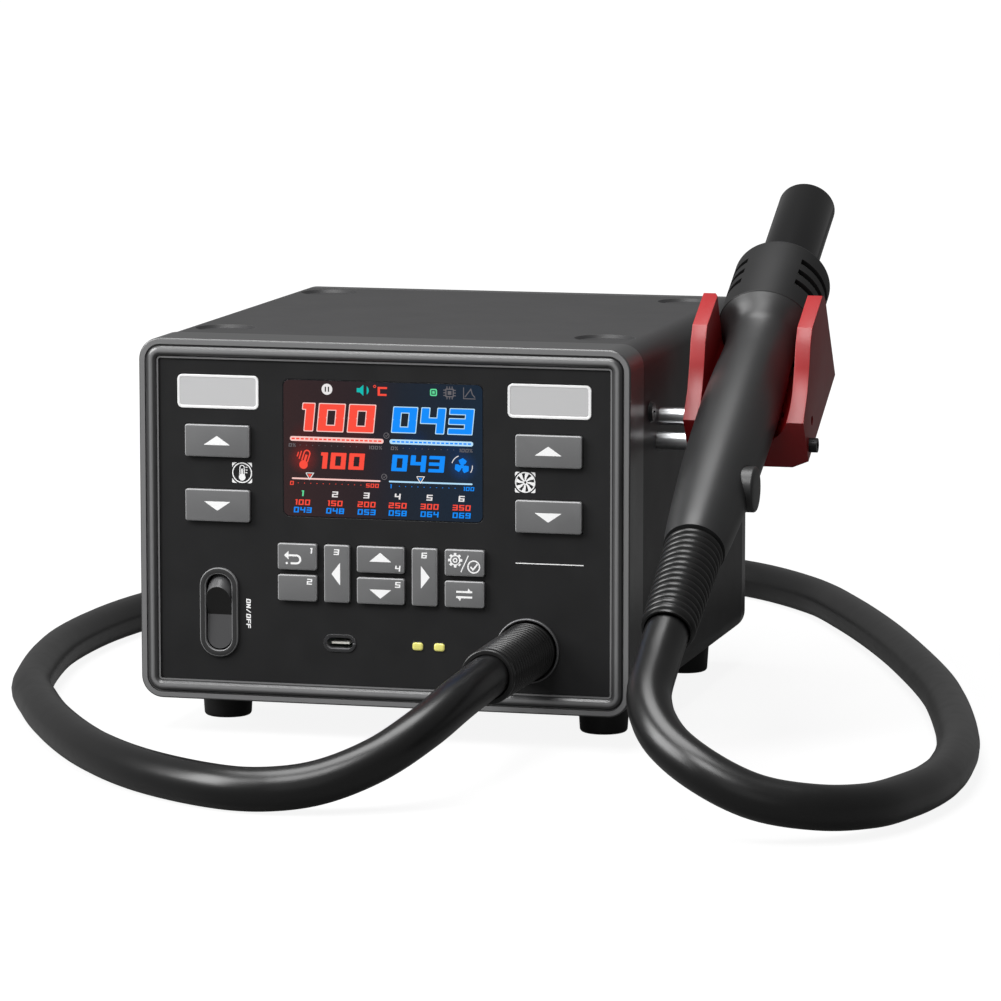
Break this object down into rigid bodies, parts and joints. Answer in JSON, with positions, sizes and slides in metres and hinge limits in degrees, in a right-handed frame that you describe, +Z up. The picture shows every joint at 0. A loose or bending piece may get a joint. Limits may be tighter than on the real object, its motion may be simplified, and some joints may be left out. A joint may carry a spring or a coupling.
{
  "type": "hot air station",
  "caption": "Bench hot air rework station with a keypad and display on a box case, and a hosed heat gun resting in a side cradle.",
  "frame": {"origin": "on the bench, under the middle of the case", "axes": "+X to the right seen from the front, +Y from the front panel to the rear panel, +Z up"},
  "size_m": [0.4132, 0.5759, 0.2021],
  "materials": {
    "case_paint": "fine satin powder coat",
    "frame_plastic": "satin",
    "panel_plastic": "matte",
    "key_plastic": "satin",
    "black_plastic": "satin",
    "window_black": "polished",
    "module_metal": "satin",
    "silver_plate": "satin",
    "steel": "satin",
    "black_steel": "blackened",
    "core_steel": "varnished laminations",
    "winding_tape": "tape",
    "board_green": "satin",
    "pale_plastic": "satin",
    "lens_yellow": "polished",
    "bright_ring": "bright",
    "black_rubber": "satin",
    "hose_rubber": "matte",
    "contact_brass": "satin",
    "holder_red": "satin anodised",
    "bright_aluminium": "turned",
    "heat_steel": "dark satin",
    "handset_paint": "dark satin",
    "handset_plastic": "dark satin",
    "mica_white": "matte"
  },
  "bodies": {
    "station": {"case_shell": "case_paint", "front_frame": "frame_plastic", "front_panel": "panel_plastic", "rear_frame": "frame_plastic", "rear_panel": "case_paint", "chassis_tray": "steel", "rear_screws": "steel", "side_screws": "black_steel", "feet": "black_rubber", "foot_screws": "steel", "display_window": "window_black", "display_module": "module_metal", "plate_left": "silver_plate", "plate_right": "silver_plate", "key_switches": "module_metal", "control_board": "board_green", "board_screws": "steel", "rocker_bezel": "black_plastic", "rocker_body": "black_plastic", "usb_shell": "steel", "usb_tongue": "pale_plastic", "indicator_lenses": "lens_yellow", "gland_ring": "bright_ring", "hose_sleeve": "black_rubber", "hose": "hose_rubber", "air_duct": "black_plastic", "blower_volute": "black_plastic", "blower_cover": "black_plastic", "blower_motor": "steel", "transformer_core": "core_steel", "transformer_winding": "winding_tape", "power_board": "board_green", "power_inlet": "black_plastic", "inlet_pins": "contact_brass", "holder": "holder_red", "holder_magnet": "steel", "holder_standoffs": "bright_aluminium", "holder_screws": "black_steel", "standoff_screws": "steel"},
    "temp_up_key": {"temp_up_key": "key_plastic"},
    "temp_down_key": {"temp_down_key": "key_plastic"},
    "air_up_key": {"air_up_key": "key_plastic"},
    "air_down_key": {"air_down_key": "key_plastic"},
    "channel_key_upper": {"channel_key_upper": "key_plastic"},
    "channel_key_lower": {"channel_key_lower": "key_plastic"},
    "left_key": {"left_key": "key_plastic"},
    "up_key": {"up_key": "key_plastic"},
    "down_key": {"down_key": "key_plastic"},
    "right_key": {"right_key": "key_plastic"},
    "set_key": {"set_key": "key_plastic"},
    "swap_key": {"swap_key": "key_plastic"},
    "rocker": {"rocker_switch": "black_plastic"},
    "impeller": {"blower_impeller": "pale_plastic"},
    "handset": {"nozzle_tube": "heat_steel", "heater_collar": "handset_paint", "heating_core": "mica_white", "handle_shell": "handset_plastic", "handle_boot": "black_rubber", "handle_board": "board_green"},
    "trigger": {"handle_button": "handset_plastic"}
  },
  "joints": [
    {"name": "temp_up_key_press", "type": "slide", "parent": "station", "child": "temp_up_key", "axis": [0, 1, 0], "range_m": [0, 0.001], "stiffness_N_per_m": 800, "springref_m": -0.0005},
    {"name": "temp_down_key_press", "type": "slide", "parent": "station", "child": "temp_down_key", "axis": [0, 1, 0], "range_m": [0, 0.001], "stiffness_N_per_m": 800, "springref_m": -0.0005},
    {"name": "air_up_key_press", "type": "slide", "parent": "station", "child": "air_up_key", "axis": [0, 1, 0], "range_m": [0, 0.001], "stiffness_N_per_m": 800, "springref_m": -0.0005},
    {"name": "air_down_key_press", "type": "slide", "parent": "station", "child": "air_down_key", "axis": [0, 1, 0], "range_m": [0, 0.001], "stiffness_N_per_m": 800, "springref_m": -0.0005},
    {"name": "channel_key_upper_press", "type": "slide", "parent": "station", "child": "channel_key_upper", "axis": [0, 1, 0], "range_m": [0, 0.001], "stiffness_N_per_m": 800, "springref_m": -0.0005},
    {"name": "channel_key_lower_press", "type": "slide", "parent": "station", "child": "channel_key_lower", "axis": [0, 1, 0], "range_m": [0, 0.001], "stiffness_N_per_m": 800, "springref_m": -0.0005},
    {"name": "left_key_press", "type": "slide", "parent": "station", "child": "left_key", "axis": [0, 1, 0], "range_m": [0, 0.001], "stiffness_N_per_m": 800, "springref_m": -0.0005},
    {"name": "up_key_press", "type": "slide", "parent": "station", "child": "up_key", "axis": [0, 1, 0], "range_m": [0, 0.001], "stiffness_N_per_m": 800, "springref_m": -0.0005},
    {"name": "down_key_press", "type": "slide", "parent": "station", "child": "down_key", "axis": [0, 1, 0], "range_m": [0, 0.001], "stiffness_N_per_m": 800, "springref_m": -0.0005},
    {"name": "right_key_press", "type": "slide", "parent": "station", "child": "right_key", "axis": [0, 1, 0], "range_m": [0, 0.001], "stiffness_N_per_m": 800, "springref_m": -0.0005},
    {"name": "set_key_press", "type": "slide", "parent": "station", "child": "set_key", "axis": [0, 1, 0], "range_m": [0, 0.001], "stiffness_N_per_m": 800, "springref_m": -0.0005},
    {"name": "swap_key_press", "type": "slide", "parent": "station", "child": "swap_key", "axis": [0, 1, 0], "range_m": [0, 0.001], "stiffness_N_per_m": 800, "springref_m": -0.0005},
    {"name": "rocker_tilt", "type": "hinge", "parent": "station", "child": "rocker", "pos_m": [-0.0644, -0.1033, 0.0474], "axis": [1, 0, 0], "range_deg": [-16, 0]},
    {"name": "impeller_spin", "type": "hinge", "parent": "station", "child": "impeller", "pos_m": [0.01778, 0.008, 0.02], "axis": [0, 0, 1], "continuous": true},
    {"name": "handset_lift", "type": "slide", "parent": "station", "child": "handset", "axis": [0, -0.4633, 0.8862], "range_m": [0, 0.06]},
    {"name": "trigger_press", "type": "slide", "parent": "handset", "child": "trigger", "axis": [-1, 0, 0], "range_m": [0, 0.0012], "stiffness_N_per_m": 800, "springref_m": -0.0005}
  ]
}
